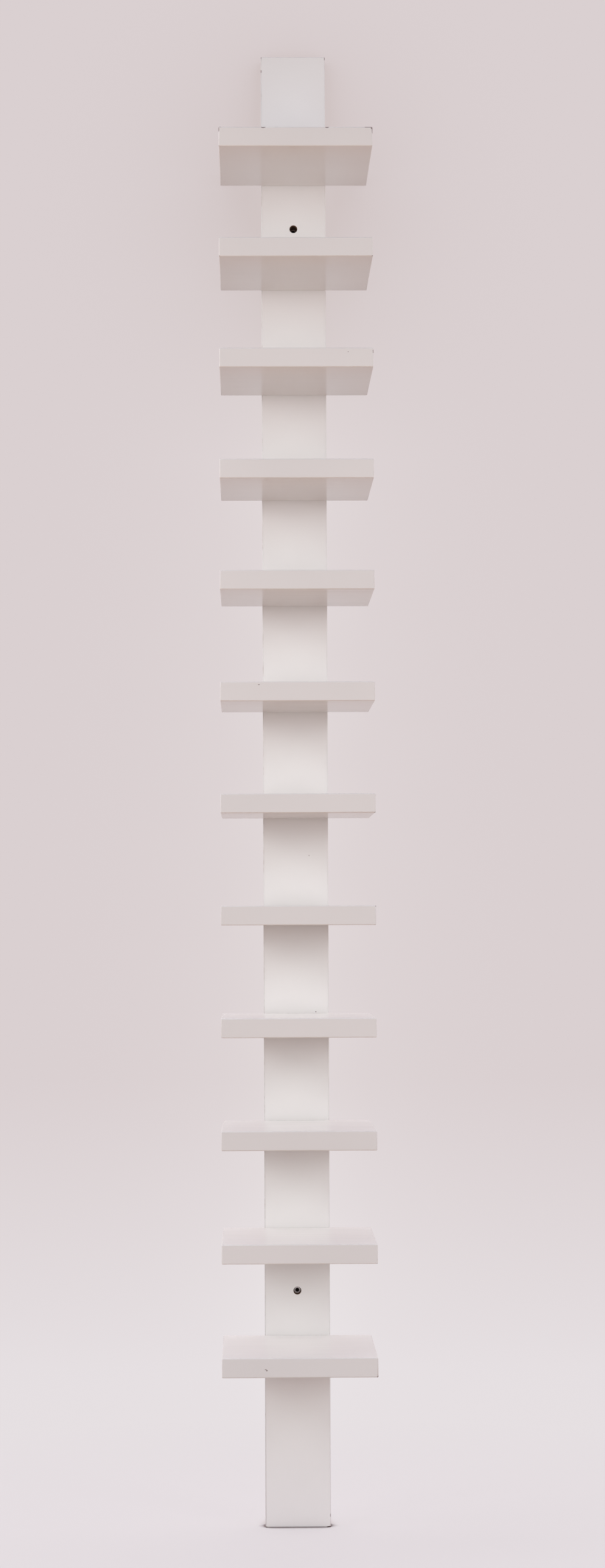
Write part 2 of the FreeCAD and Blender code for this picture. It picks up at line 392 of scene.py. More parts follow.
class BookshelfStudio(bpy.types.PropertyGroup):
    """Backdrop, light and camera."""

    backdrop: bpy.props.FloatVectorProperty(
        name="Backdrop",
        description="Colour of the backdrop from eye level up",
        default=(0.701, 0.630, 0.638),
        min=0.0,
        max=1.0,
        subtype="COLOR",
    )
    floor: bpy.props.FloatVectorProperty(
        name="Floor",
        description="Colour of the backdrop where it runs into the floor",
        default=(0.783, 0.735, 0.753),
        min=0.0,
        max=1.0,
        subtype="COLOR",
    )
    wall_shade: bpy.props.FloatVectorProperty(
        name="Wall shade",
        description="What is left of the backdrop's light on the wall in a corner of the boards",
        default=(0.85, 0.815, 0.80),
        min=0.0,
        max=1.0,
        subtype="COLOR",
    )
    wall_glow: bpy.props.FloatVectorProperty(
        name="Wall glow",
        description="Light that the boards throw back on the wall beside them",
        default=(0.071, 0.081, 0.075),
        min=0.0,
        max=1.0,
        subtype="COLOR",
    )
    floor_matt: bpy.props.FloatVectorProperty(
        name="Floor paint",
        description="Matt paint of the floor where it takes the object's shadow",
        default=(0.68, 0.64, 0.655),
        min=0.0,
        max=1.0,
        subtype="COLOR",
    )
    foot_shade: bpy.props.FloatVectorProperty(
        name="Foot shade",
        description="What the floor sends back from right under the foot",
        default=(0.16, 0.11, 0.11),
        min=0.0,
        max=1.0,
        subtype="COLOR",
    )
    floor_shade: bpy.props.FloatProperty(
        name="Floor shade",
        description="How much of the object's shadow the floor takes",
        default=0.32,
        min=0.0,
        max=1.0,
        subtype="FACTOR",
    )
    front_power: bpy.props.FloatProperty(
        name="Front lights",
        description="Power of each tall softbox in front",
        default=13.4,
        min=0.0,
        unit="POWER",
    )
    left_power: bpy.props.FloatProperty(
        name="Left light",
        description="Power of the high softbox on the left",
        default=10.5,
        min=0.0,
        unit="POWER",
    )
    right_power: bpy.props.FloatProperty(
        name="Right light",
        description="Power of the high softbox on the right",
        default=3.5,
        min=0.0,
        unit="POWER",
    )
    camera_place: bpy.props.FloatVectorProperty(
        name="Camera place",
        description="Where the camera stands",
        default=(-0.06242, -4.31390, 0.81752),
        subtype="TRANSLATION",
        unit="LENGTH",
    )
    camera_yaw: bpy.props.FloatProperty(
        name="Camera yaw",
        description="Turn of the camera to the right",
        default=math.radians(0.96165),
        subtype="ANGLE",
    )
    camera_pitch: bpy.props.FloatProperty(
        name="Camera pitch",
        description="Tilt of the camera above the horizon",
        default=math.radians(2.45221),
        subtype="ANGLE",
    )
    camera_roll: bpy.props.FloatProperty(
        name="Camera roll",
        description="Turn of the camera about its own line of sight",
        default=math.radians(-0.22193),
        subtype="ANGLE",
    )
    camera_lens: bpy.props.FloatProperty(
        name="Camera lens",
        description="Focal length in millimetres",
        default=72.518,
        min=1.0,
        unit="CAMERA",
    )


# Shapes

def board_blank(low, high, sizes, against_wall=False):
    """A board with its edges sanded round, apart from those that lie on the wall."""
    bm = bmesh.new()
    size = high - low
    place = Matrix.Translation((low + high) / 2) @ Matrix.Diagonal((*size, 1.0))
    bmesh.ops.create_cube(bm, size=1.0, matrix=place)
    rounded = []
    for edge in bm.edges:
        on_wall = all(abs(vert.co.y - high.y) < WELD for vert in edge.verts)
        if not (against_wall and on_wall):
            rounded.append(edge)
    bmesh.ops.bevel(
        bm,
        geom=rounded,
        offset=sizes.edge_round,
        offset_type="OFFSET",
        affect="EDGES",
        segments=sizes.edge_steps,
        profile=0.5,
        material=-1,
    )
    return bm


def turned(profile, steps):
    """A closed solid turned about Z: (radius, height) points from one end of the axis to the other."""
    bm = bmesh.new()
    points = [bm.verts.new((radius, 0, height)) for radius, height in profile]
    edges = [bm.edges.new(pair) for pair in zip(points, points[1:])]
    bmesh.ops.spin(
        bm,
        geom=points + edges,
        cent=(0, 0, 0),
        axis=(0, 0, 1),
        angle=math.tau,
        steps=steps,
        use_merge=True,
    )
    bmesh.ops.remove_doubles(bm, verts=bm.verts, dist=WELD)
    bmesh.ops.recalc_face_normals(bm, faces=bm.faces)
    return bm


def stand(bm, place, direction):
    """Turns a shape's Z axis to a direction and moves its origin to a place."""
    turn = direction.to_track_quat("Z", "Y").to_matrix().to_4x4()
    bmesh.ops.transform(bm, matrix=Matrix.Translation(place) @ turn, verts=bm.verts)
    return bm


def gather(bm, part):
    """Adds a shape to another and uses it up."""
    mesh = bpy.data.meshes.new("part")
    part.to_mesh(mesh)
    part.free()
    bm.from_mesh(mesh)
    bpy.data.meshes.remove(mesh)


def loose_object(bm, name, materials):
    mesh = bpy.data.meshes.new(name)
    bm.to_mesh(mesh)
    bm.free()
    for material in materials:
        mesh.materials.append(material)
    thing = bpy.data.objects.new(name, mesh)
    bpy.context.collection.objects.link(thing)
    return thing


def combined(blank, tool, operation, materials):
    """Two shapes joined or cut as solids; both are used up."""
    body = loose_object(blank, "blank", materials)
    other = loose_object(tool, "tool", materials)
    modifier = body.modifiers.new("combine", "BOOLEAN")
    modifier.operation = operation
    modifier.solver = "EXACT"
    modifier.object = other
    result = bmesh.new()
    result.from_object(body, bpy.context.evaluated_depsgraph_get())
    for used in (body, other):
        mesh = used.data
        bpy.data.objects.remove(used)
        bpy.data.meshes.remove(mesh)
    if not result.faces:
        raise RuntimeError("nothing is left of the shape")
    return result


def hexagon_prism(corner_radius, depth):
    """A cutter for a hexagon socket about Z, which stands a little out of its mouth at the origin."""
    bm = bmesh.new()
    place = Matrix.Translation((0, 0, (depth - CUT_MARGIN) / 2))
    bmesh.ops.create_cone(
        bm,
        cap_ends=True,
        segments=HEXAGON,
        radius1=corner_radius,
        radius2=corner_radius,
        depth=depth + CUT_MARGIN,
        matrix=place,
    )
    for face in bm.faces:
        face.material_index = SOCKET_SHADE_SLOT
    return bm


def thread(root, crest, pitch, start, end, tip_length):
    """A thread's ridge about Z, which runs out of the shank at its start and narrows to the tip."""
    bm = bmesh.new()
    foot = root - THREAD_SINK
    half = pitch * THREAD_WIDTH / 2
    corners = [(foot, -half), (crest, 0.0), (foot, half)]
    section = bm.faces.new([bm.verts.new((radius, 0, start + along)) for radius, along in corners])
    length = end - pitch / 2 - start
    turns = length / pitch
    steps = round(turns * THREAD_STEPS)
    bmesh.ops.spin(
        bm,
        geom=[section, *section.edges, *section.verts],
        cent=(0, 0, 0),
        axis=(0, 0, 1),
        dvec=(0, 0, length / steps),
        angle=turns * math.tau,
        steps=steps,
    )
    for vert in bm.verts:
        radius = math.hypot(vert.co.x, vert.co.y)
        risen = min(1.0, max(THREAD_START, (vert.co.z - start) / pitch))
        taper = core_share(root, end, tip_length, vert.co.z)
        wanted = (foot + (radius - foot) * risen) * taper
        vert.co.x *= wanted / radius
        vert.co.y *= wanted / radius
    bmesh.ops.recalc_face_normals(bm, faces=bm.faces)
    return bm


def core_share(root, end, tip_length, height):
    """How much of its radius a screw's core keeps at a height, as it narrows to its tip."""
    into_tip = max(0.0, height - (end - tip_length)) / tip_length
    return 1.0 - into_tip * (1.0 - TIP_RADIUS / root)


def flute(bm, radius):
    """Presses flutes along a dowel."""
    steps = DOWEL_FLUTES * DOWEL_STEPS_PER_FLUTE
    for vert in bm.verts:
        if math.hypot(vert.co.x, vert.co.y) < radius - WELD:
            continue
        step = round(math.atan2(vert.co.y, vert.co.x) / math.tau * steps)
        if step % DOWEL_STEPS_PER_FLUTE == 0:
            pressed = 1.0 - DOWEL_FLUTE_DEPTH / radius
            vert.co.x *= pressed
            vert.co.y *= pressed
    return bm


def knock(place, half_sizes):
    """A ragged lump that knocks the paint off an edge."""
    bm = bmesh.new()
    bmesh.ops.create_icosphere(bm, subdivisions=2, radius=1.0)
    for vert in bm.verts:
        lump = noise.noise(vert.co * KNOCK_GRAIN + place / MM)
        vert.co *= 1.0 + KNOCK_ROUGHNESS * lump
    size = Vector(half_sizes) * MM
    bmesh.ops.transform(
        bm,
        matrix=Matrix.Translation(place) @ Matrix.Diagonal((*size, 1.0)),
        verts=bm.verts,
    )
    for face in bm.faces:
        face.material_index = KNOCKED
    return bm


def knocks(board, low, high):
    """The lumps for every knock on a board, which may overlap."""
    lumps = []
    for name, share, half_sizes in KNOCKS:
        if name == board:
            place = Vector(a + (b - a) * part for a, b, part in zip(low, high, share))
            lumps.append(knock(place, half_sizes))
    return lumps


def drill(profile, place, direction):
    """A cutter for a turned hole, which leaves the board bare inside."""
    bm = turned(profile, HOLE_STEPS)
    for face in bm.faces:
        face.material_index = BARE
    return stand(bm, place, direction)


def wall_hole(axis):
    """A cutter for a wall screw's hole, opened from the front for the screw's head."""
    front = SPINE_LOW.y
    back = SPINE_HIGH.y
    floor = WALL_RECESS_DEPTH
    profile = [
        (0, -CUT_MARGIN),
        (WALL_RECESS_RADIUS + HOLE_FLARE, -CUT_MARGIN),
        (WALL_RECESS_RADIUS + HOLE_FLARE, 0),
        (WALL_RECESS_RADIUS, HOLE_FLARE),
        (WALL_RECESS_RADIUS, floor),
        (WALL_HOLE_RADIUS, floor),
        (WALL_HOLE_RADIUS, back - front + CUT_MARGIN),
        (0, back - front + CUT_MARGIN),
    ]
    return drill(profile, Vector((axis.x, front, axis.z)), TO_WALL)


def shelf_middles():
    """Middle heights of the shelves, from the lowest up."""
    middles = []
    for node in SHELF_NODES:
        low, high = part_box(node)
        middles.append((low.z + high.z) / 2)
    return middles


def both_sides(distance):
    return (-distance, distance)


def joint_holes(height):
    """Cutters for one shelf's dowels and screws, through both boards."""
    cutters = bmesh.new()
    dowel_start = -DOWEL_HIGH.y - HOLE_END_ROOM
    dowel_end = -DOWEL_LOW.y + HOLE_END_ROOM
    dowel_hole = DOWEL_RADIUS + HOLE_CLEARANCE
    dowel_profile = [
        (0, dowel_start),
        (dowel_hole, dowel_start),
        (dowel_hole, dowel_end),
        (0, dowel_end),
    ]
    shank = SCREW_RADIUS + HOLE_CLEARANCE
    mouth = SCREW_HEAD_RADIUS + HOLE_CLEARANCE
    sink = -SCREW_HIGH.y
    end = -SCREW_LOW.y + HOLE_END_ROOM
    screw_profile = [
        (0, -CUT_MARGIN),
        (mouth, -CUT_MARGIN),
        (mouth, sink),
        (shank, sink + mouth - shank),
        (shank, end),
        (0, end),
    ]
    for x in both_sides(DOWEL_X):
        gather(cutters, drill(dowel_profile, Vector((x, 0, height)), TO_ROOM))
    for x in both_sides(SCREW_X):
        gather(cutters, drill(screw_profile, Vector((x, 0, height)), TO_ROOM))
    return cutters


def mark_edges(bm, node):
    """Smooths the rounds and holes, and marks the rounds in paint for rubbed dirt and painted shade."""
    wear_and_shade = bm.loops.layers.float.new("edge_wear_and_shade")
    for face in bm.faces:
        square = max(abs(part) for part in face.normal) > FLAT
        face.smooth = not square
        # Painted shade: the left rounds of some boards are darkened further.
        rubbed = LEFT_EDGE_SHADE.get(node, EDGE_WEAR_AND_SHADE) if face.normal.x < 0 else EDGE_WEAR_AND_SHADE
        on_round = not square and face.material_index == PAINTED
        for loop in face.loops:
            loop[wear_and_shade] = rubbed if on_round else 0.0


# Finishes

def new_material(name):
    material = bpy.data.materials.new(name)
    material.use_nodes = True
    tree = material.node_tree
    return material, tree, tree.nodes["Principled BSDF"]


def pattern_place(tree, scale=(1.0, 1.0, 1.0)):
    """Object coordinates, stretched."""
    place = tree.nodes.new("ShaderNodeTexCoord")
    mapping = tree.nodes.new("ShaderNodeMapping")
    mapping.inputs["Scale"].default_value = scale
    tree.links.new(place.outputs["Object"], mapping.inputs["Vector"])
    return mapping.outputs["Vector"]


def cloud(tree, place, scale, detail=2.0, roughness=0.5):
    """Soft noise from 0 to 1."""
    texture = tree.nodes.new("ShaderNodeTexNoise")
    texture.inputs["Scale"].default_value = scale
    texture.inputs["Detail"].default_value = detail
    texture.inputs["Roughness"].default_value = roughness
    tree.links.new(place, texture.inputs["Vector"])
    return texture.outputs["Fac"]


def shades(tree, factor, stops):
    """Colours along a factor: (position, colour) stops."""
    ramp = tree.nodes.new("ShaderNodeValToRGB")
    elements = ramp.color_ramp.elements
    while len(elements) < len(stops):
        elements.new(1.0)
    for element, (position, colour) in zip(elements, stops):
        element.position = position
        element.color = (*colour, 1.0)
    tree.links.new(factor, ramp.inputs["Fac"])
    return ramp.outputs["Color"]


def spread(tree, factor, low, high, start=GRAIN_SPAN[0], end=GRAIN_SPAN[1]):
    """A factor carried from a range of its own to another."""
    span = tree.nodes.new("ShaderNodeMapRange")
    span.inputs["From Min"].default_value = start
    span.inputs["From Max"].default_value = end
    span.inputs["To Min"].default_value = low
    span.inputs["To Max"].default_value = high
    tree.links.new(factor, span.inputs["Value"])
    return span.outputs["Result"]


def inverse(tree, factor):
    """1 where a factor is 0, and 0 where it is 1."""
    return spread(tree, factor, 1.0, 0.0, start=0.0, end=1.0)


def joined(tree, operation, first, second):
    """Two values worked into one."""
    node = tree.nodes.new("ShaderNodeMath")
    node.operation = operation
    tree.links.new(first, node.inputs[0])
    tree.links.new(second, node.inputs[1])
    return node.outputs["Value"]


def product(tree, first, second):
    return joined(tree, "MULTIPLY", first, second)


def blended(tree, factor, first, second):
    """The first colour at 0, the second at 1."""
    mix = tree.nodes.new("ShaderNodeMix")
    mix.data_type = "RGBA"
    colours = [socket for socket in mix.inputs if socket.type == "RGBA"]
    result = next(socket for socket in mix.outputs if socket.type == "RGBA")
    tree.links.new(factor, mix.inputs["Factor"])
    tree.links.new(first, colours[0])
    tree.links.new(second, colours[1])
    return result


def relief(tree, height, depth, under=None):
    """Bumps of a depth in metres, over what lies under them."""
    bump = tree.nodes.new("ShaderNodeBump")
    bump.inputs["Distance"].default_value = depth
    tree.links.new(height, bump.inputs["Height"])
    if under is not None:
        tree.links.new(under, bump.inputs["Normal"])
    return bump.outputs["Normal"]


def tinted(colour, share):
    return tuple(part * share for part in colour)


def mottled(tree, pattern, colour, shares):
    """A colour that goes from dark to pale over a pattern."""
    return shades(tree, pattern, [(at, tinted(colour, share)) for at, share in zip(GRAIN_SPAN, shares)])


def white_paint(finish, name, strokes_along):
    """Satin paint: a faint drift of tone, roller stipple, strokes along the board, and edges darkened by
    rubbed dirt and painted shade.
    """
    material, tree, surface = new_material(name)
    place = pattern_place(tree)
    strokes_scale = [STROKE_ACROSS] * 3
    strokes_scale[strokes_along] = STROKE_ALONG
    strokes = cloud(tree, pattern_place(tree, strokes_scale), 1.0, detail=3.0)
    stipple = cloud(tree, place, PAINT_STIPPLE, detail=2.0)
    drift = cloud(tree, place, PAINT_DRIFT, detail=3.0)
    paint = mottled(tree, drift, finish.paint, PAINT_SHADES)
    shaded_edge = tinted(finish.paint, EDGE_SHADED)
    # Edge rounds: painted shade dulls them all, turning to rubbed dirt in patches.
    dirt_and_edge_shade = shades(
        tree,
        cloud(tree, place, EDGE_WEAR_GRAIN, detail=4.0, roughness=0.65),
        list(zip(EDGE_WEAR_SPAN, (shaded_edge, finish.rubbed_edge))),
    )
    wear_and_shade = tree.nodes.new("ShaderNodeAttribute")
    wear_and_shade.attribute_name = "edge_wear_and_shade"
    colour = blended(tree, wear_and_shade.outputs["Fac"], paint, dirt_and_edge_shade)
    tree.links.new(colour, surface.inputs["Base Color"])
    roughness = finish.paint_roughness
    sheen = spread(tree, strokes, roughness - STROKE_SHEEN, roughness + STROKE_SHEEN)
    tree.links.new(sheen, surface.inputs["Roughness"])
    surface.inputs["IOR"].default_value = finish.paint_ior
    normal = relief(tree, stipple, STIPPLE_DEPTH)
    normal = relief(tree, strokes, STROKE_DEPTH, normal)
    tree.links.new(normal, surface.inputs["Normal"])
    return material


def pressed_fibres(name, colour):
    """Pressed fibres of a board, dull and rough."""
    material, tree, surface = new_material(name)
    fibres = cloud(tree, pattern_place(tree), FIBRE_GRAIN, detail=5.0, roughness=0.7)
    tree.links.new(mottled(tree, fibres, colour, FIBRE_SHADES), surface.inputs["Base Color"])
    surface.inputs["Roughness"].default_value = FIBRE_ROUGHNESS
    tree.links.new(relief(tree, fibres, FIBRE_DEPTH), surface.inputs["Normal"])
    return material


def shaded_bore_fibres(name, colour):
    """Fibreboard inside a hole: its own tones at the mouth, darkening further in as painted shade."""
    material, tree, surface = new_material(name)
    place = pattern_place(tree)
    fibres = cloud(tree, place, FIBRE_GRAIN, detail=5.0, roughness=0.7)
    split = tree.nodes.new("ShaderNodeSeparateXYZ")
    tree.links.new(place, split.inputs["Vector"])
    deepest = SPINE_LOW.y + HOLE_SHADE_DEPTH
    depth = spread(tree, split.outputs["Y"], 0.0, 1.0, start=SPINE_LOW.y, end=deepest)
    mouth = mottled(tree, fibres, colour, HOLE_MOUTH_SHADES)
    painted_deep_shade = mottled(tree, fibres, colour, HOLE_DEEP_PAINTED_SHADE)
    tree.links.new(blended(tree, depth, mouth, painted_deep_shade), surface.inputs["Base Color"])
    surface.inputs["Roughness"].default_value = FIBRE_ROUGHNESS
    tree.links.new(relief(tree, fibres, FIBRE_DEPTH), surface.inputs["Normal"])
    return material


def plated_steel(name, colour, roughness):
    """Bright plating with faint blotches and fine scratches."""
    material, tree, surface = new_material(name)
    place = pattern_place(tree)
    blotches = cloud(tree, place, METAL_MOTTLE, detail=3.0)
    fine = cloud(tree, place, METAL_FINE, detail=2.0)
    tree.links.new(mottled(tree, blotches, colour, METAL_SHADES), surface.inputs["Base Color"])
    surface.inputs["Metallic"].default_value = 1.0
    sheen = spread(tree, fine, *(roughness + change for change in METAL_SHEEN))
    tree.links.new(sheen, surface.inputs["Roughness"])
    tree.links.new(relief(tree, fine, METAL_FINE_DEPTH), surface.inputs["Normal"])
    return material


def screw_finishes(finish, name, plating, roughness):
    """Finishes of a screw's slots: plating, worn steel, and painted shade in the socket."""
    return [
        plated_steel(name, plating, roughness),
        plated_steel(name + "_worn", finish.worn_steel, WORN_ROUGHNESS),
        pressed_fibres(name + "_socket", finish.socket_shade),
    ]


def beech(finish):
    """Bare beech with its grain along the dowels."""
    material, tree, surface = new_material("beech")
    place = pattern_place(tree, (BEECH_ACROSS, BEECH_ALONG, BEECH_ACROSS))
    grain = cloud(tree, place, 1.0, detail=4.0, roughness=0.6)
    tree.links.new(mottled(tree, grain, finish.beech, BEECH_SHADES), surface.inputs["Base Color"])
    surface.inputs["Roughness"].default_value = BEECH_ROUGHNESS
    tree.links.new(relief(tree, grain, BEECH_DEPTH), surface.inputs["Normal"])
    return material


def board_finishes(finish, name, strokes_along):
    """Finishes of a board's slots: paint, bare holes darkened inside by painted shade, and knocks."""
    return [
        white_paint(finish, name, strokes_along),
        shaded_bore_fibres(name + "_holes", finish.fibreboard),
        pressed_fibres(name + "_knocks", finish.knocked),
    ]


# Pieces

def add_piece(name, bm, materials, nodes):
    """A finished piece that stands for nodes of the frame."""
    piece = loose_object(bm, name, materials)
    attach(piece, BODY)
    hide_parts(*nodes)
    return piece


def add_board(name, blank, holes, materials, node):
    """Cuts a board's holes and knocks, and adds it as a piece."""
    board = combined(blank, holes, "DIFFERENCE", materials)
    for lump in knocks(node, *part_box(node)):
        board = combined(board, lump, "DIFFERENCE", materials)
    mark_edges(board, node)
    return add_piece(name, board, materials, [node])


def smooth_turned(bm):
    """Smooths a turned piece, apart from its sharp corners and where its finish changes."""
    for face in bm.faces:
        face.smooth = True
    for edge in bm.edges:
        finishes = {face.material_index for face in edge.link_faces}
        edge.smooth = edge.calc_face_angle(math.pi) < SHARP_ANGLE and len(finishes) == 1
    return bm


def wear_dish(bm, depth):
    """Wears the plating off the dish in a screw's face, which is at height zero."""
    for face in bm.faces:
        if WELD < face.calc_center_median().z < depth:
            face.material_index = WORN
    return bm


def threaded_screw(core, ridge, socket_radius, socket_depth, materials):
    """A turned core joined with its thread, with a hexagon socket in its head."""
    screw = combined(core, ridge, "UNION", materials)
    socket = hexagon_prism(socket_radius, socket_depth)
    return smooth_turned(combined(screw, socket, "DIFFERENCE", materials))


class BOOKSHELF_OT_spine_board(bpy.types.Operator):
    """Makes the upright board with its holes"""

    bl_idname = "bookshelf.spine_board"
    bl_label = "Spine Board"

    def execute(self, context):
        sizes = context.scene.bookshelf_sizes
        finish = context.scene.bookshelf_finish
        materials = board_finishes(finish, "white_paint_upright", ALONG_Z)
        holes = bmesh.new()
        for axis in (WALL_SCREW_AXIS, UPPER_HOLE_AXIS):
            gather(holes, wall_hole(axis))
        for height in shelf_middles():
            gather(holes, joint_holes(height))
        blank = board_blank(SPINE_LOW, SPINE_HIGH, sizes, against_wall=True)
        add_board("spine_board", blank, holes, materials, "spine")
        return {"FINISHED"}


class BOOKSHELF_OT_shelf_boards(bpy.types.Operator):
    """Makes the shelves, bored at the back for dowels and screws"""

    bl_idname = "bookshelf.shelf_boards"
    bl_label = "Shelf Boards"

    def execute(self, context):
        sizes = context.scene.bookshelf_sizes
        finish = context.scene.bookshelf_finish
        materials = board_finishes(finish, "white_paint_shelf", ALONG_X)
        for node, middle in zip(SHELF_NODES, shelf_middles()):
            blank = board_blank(*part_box(node), sizes)
            add_board(node + "_board", blank, joint_holes(middle), materials, node)
        return {"FINISHED"}


class BOOKSHELF_OT_shelf_dowels(bpy.types.Operator):
    """Makes the fluted dowels inside the joints"""

    bl_idname = "bookshelf.shelf_dowels"
    bl_label = "Shelf Dowels"

    def execute(self, context):
        length = DOWEL_HIGH.y - DOWEL_LOW.y
        inner = DOWEL_RADIUS - DOWEL_CHAMFER
        profile = [
            (0, 0),
            (inner, 0),
            (DOWEL_RADIUS, DOWEL_CHAMFER),
            (DOWEL_RADIUS, length - DOWEL_CHAMFER),
            (inner, length),
            (0, length),
        ]
        dowels = bmesh.new()
        for height in shelf_middles():
            for x in both_sides(DOWEL_X):
                dowel = flute(turned(profile, DOWEL_FLUTES * DOWEL_STEPS_PER_FLUTE), DOWEL_RADIUS)
                gather(dowels, stand(dowel, Vector((x, DOWEL_HIGH.y, height)), TO_ROOM))
        materials = [beech(context.scene.bookshelf_finish)]
        add_piece("fluted_dowels", dowels, materials, ["shelf_dowels"])
        return {"FINISHED"}


class BOOKSHELF_OT_shelf_screws(bpy.types.Operator):
    """Makes the countersunk screws that hold the shelves from behind"""

    bl_idname = "bookshelf.shelf_screws"
    bl_label = "Shelf Screws"

    def execute(self, context):
        finish = context.scene.bookshelf_finish
        materials = screw_finishes(finish, "zinc_steel", finish.zinc, ZINC_ROUGHNESS)
        length = SCREW_HIGH.y - SCREW_LOW.y
        neck = SCREW_HEAD_RADIUS - SCREW_RADIUS
        thread_start = SCREW_HIGH.y - SPINE_LOW.y
        core = turned(
            [
                (0, SCREW_DISH),
                (SCREW_SOCKET_RADIUS, SCREW_DISH),
                (SCREW_SOCKET_RADIUS + SCREW_DISH, 0),
                (SCREW_HEAD_RADIUS - SCREW_HEAD_EDGE, 0),
                (SCREW_HEAD_RADIUS, SCREW_HEAD_EDGE / 2),
                (SCREW_HEAD_RADIUS - SCREW_HEAD_EDGE / 2, SCREW_HEAD_EDGE),
                (SCREW_RADIUS, neck),
                (SCREW_RADIUS, thread_start),
                (SCREW_ROOT_RADIUS, thread_start + SCREW_RADIUS - SCREW_ROOT_RADIUS),
                (SCREW_ROOT_RADIUS, length - SCREW_TIP_LENGTH),
                (TIP_RADIUS, length),
                (0, length),
            ],
            TURNED_STEPS,
        )
        ridge = thread(
            SCREW_ROOT_RADIUS,
            SCREW_RADIUS,
            SCREW_PITCH,
            thread_start,
            length,
            SCREW_TIP_LENGTH,
        )
        screw = threaded_screw(core, ridge, SCREW_SOCKET_RADIUS, SCREW_SOCKET_DEPTH, materials)
        screws = bmesh.new()
        for height in shelf_middles():
            for x in both_sides(SCREW_X):
                gather(screws, stand(screw.copy(), Vector((x, SCREW_HIGH.y, height)), TO_ROOM))
        screw.free()
        add_piece("countersunk_screws", screws, materials, ["shelf_screws"])
        return {"FINISHED"}


class BOOKSHELF_OT_wall_screw(bpy.types.Operator):
    """Makes the cap-headed screw that goes into the wall"""

    bl_idname = "bookshelf.wall_screw"
    bl_label = "Wall Screw"

    def execute(self, context):
        finish = context.scene.bookshelf_finish
        materials = screw_finishes(finish, "dark_nickel", finish.nickel, NICKEL_ROUGHNESS)
        length = WALL_SCREW_HIGH.y - WALL_SCREW_LOW.y
        wall = SPINE_HIGH.y - WALL_SCREW_LOW.y
        step = WALL_SCREW_NECK_RADIUS - WALL_SCREW_ROOT_RADIUS
        head_round = WALL_SCREW_HEAD_ROUND
        profile = [
            (0, WALL_SCREW_DISH),
            (WALL_SCREW_SOCKET_RADIUS, WALL_SCREW_DISH),
            (WALL_SCREW_SOCKET_RADIUS + WALL_SCREW_DISH_WIDTH, 0),
        ]
        inner = WALL_SCREW_HEAD_RADIUS - head_round
        for number in range(WALL_SCREW_HEAD_STEPS + 1):
            angle = QUARTER_TURN * number / WALL_SCREW_HEAD_STEPS
            profile.append((inner + head_round * math.sin(angle), head_round * (1 - math.cos(angle))))
        profile += [
            (WALL_SCREW_HEAD_RADIUS, WALL_SCREW_HEAD_HEIGHT),
            (WALL_SCREW_NECK_RADIUS, WALL_SCREW_HEAD_HEIGHT),
            (WALL_SCREW_NECK_RADIUS, wall - step),
            (WALL_SCREW_ROOT_RADIUS, wall),
            (WALL_SCREW_ROOT_RADIUS, length - WALL_SCREW_TIP_LENGTH),
            (TIP_RADIUS, length),
            (0, length),
        ]
        ridge = thread(
            WALL_SCREW_ROOT_RADIUS,
            WALL_SCREW_RADIUS,
            WALL_SCREW_PITCH,
            wall + WALL_SCREW_PITCH / 2,
            length,
            WALL_SCREW_TIP_LENGTH,
        )
        screw = threaded_screw(
            wear_dish(turned(profile, TURNED_STEPS), WALL_SCREW_DISH),
            ridge,
            WALL_SCREW_SOCKET_RADIUS,
            WALL_SCREW_SOCKET_DEPTH,
            materials,
        )
        stand(screw, Vector((WALL_SCREW_AXIS.x, WALL_SCREW_LOW.y, WALL_SCREW_AXIS.z)), TO_WALL)
        add_piece("wall_screw_threaded", screw, materials, ["wall_screw"])
        return {"FINISHED"}


# Studio

def stage_material(name):
    """A material with nothing but its output."""
    material = bpy.data.materials.new(name)
    material.use_nodes = True
    tree = material.node_tree
    tree.nodes.clear()
    return material, tree, tree.nodes.new("ShaderNodeOutputMaterial")


def openness(tree, reach):
    """How open a surface is to what lies within a reach: 1 in the open and 0 under the boards."""
    node = tree.nodes.new("ShaderNodeAmbientOcclusion")
    node.samples = OPENNESS_SAMPLES
    node.inputs["Distance"].default_value = reach
    return node.outputs["AO"]


def pale_floor(studio):
    """A matt floor that takes the object's shadow; to the eye it fades into the backdrop further out."""
    material, tree, output = stage_material("pale_floor")
    distance = tree.nodes.new("ShaderNodeVectorMath")
    distance.operation = "LENGTH"
    tree.links.new(pattern_place(tree), distance.inputs[0])
    out = distance.outputs["Value"]
    near = spread(tree, out, studio.floor_shade, 0.0, *FLOOR_FADE)
    bounce = spread(tree, out, FLOOR_BOUNCE_SHARE, 0.0, *FLOOR_BOUNCE)
    touched = spread(tree, openness(tree, FOOT_REACH), 1.0, 0.0, *FOOT_OPEN)
    rays = tree.nodes.new("ShaderNodeLightPath")
    unseen = inverse(tree, rays.outputs["Is Camera Ray"])
    share = joined(tree, "MAXIMUM", near, touched)
    share = joined(tree, "MAXIMUM", share, product(tree, unseen, bounce))
    matt = tree.nodes.new("ShaderNodeBsdfDiffuse")
    tone = shades(tree, touched, [(0.0, studio.floor_matt), (1.0, studio.foot_shade)])
    tree.links.new(tone, matt.inputs["Color"])
    clear = tree.nodes.new("ShaderNodeBsdfTransparent")
    mix = tree.nodes.new("ShaderNodeMixShader")
    tree.links.new(share, mix.inputs["Fac"])
    tree.links.new(clear.outputs["BSDF"], mix.inputs[1])
    tree.links.new(matt.outputs["BSDF"], mix.inputs[2])
    tree.links.new(mix.outputs["Shader"], output.inputs["Surface"])
    return material


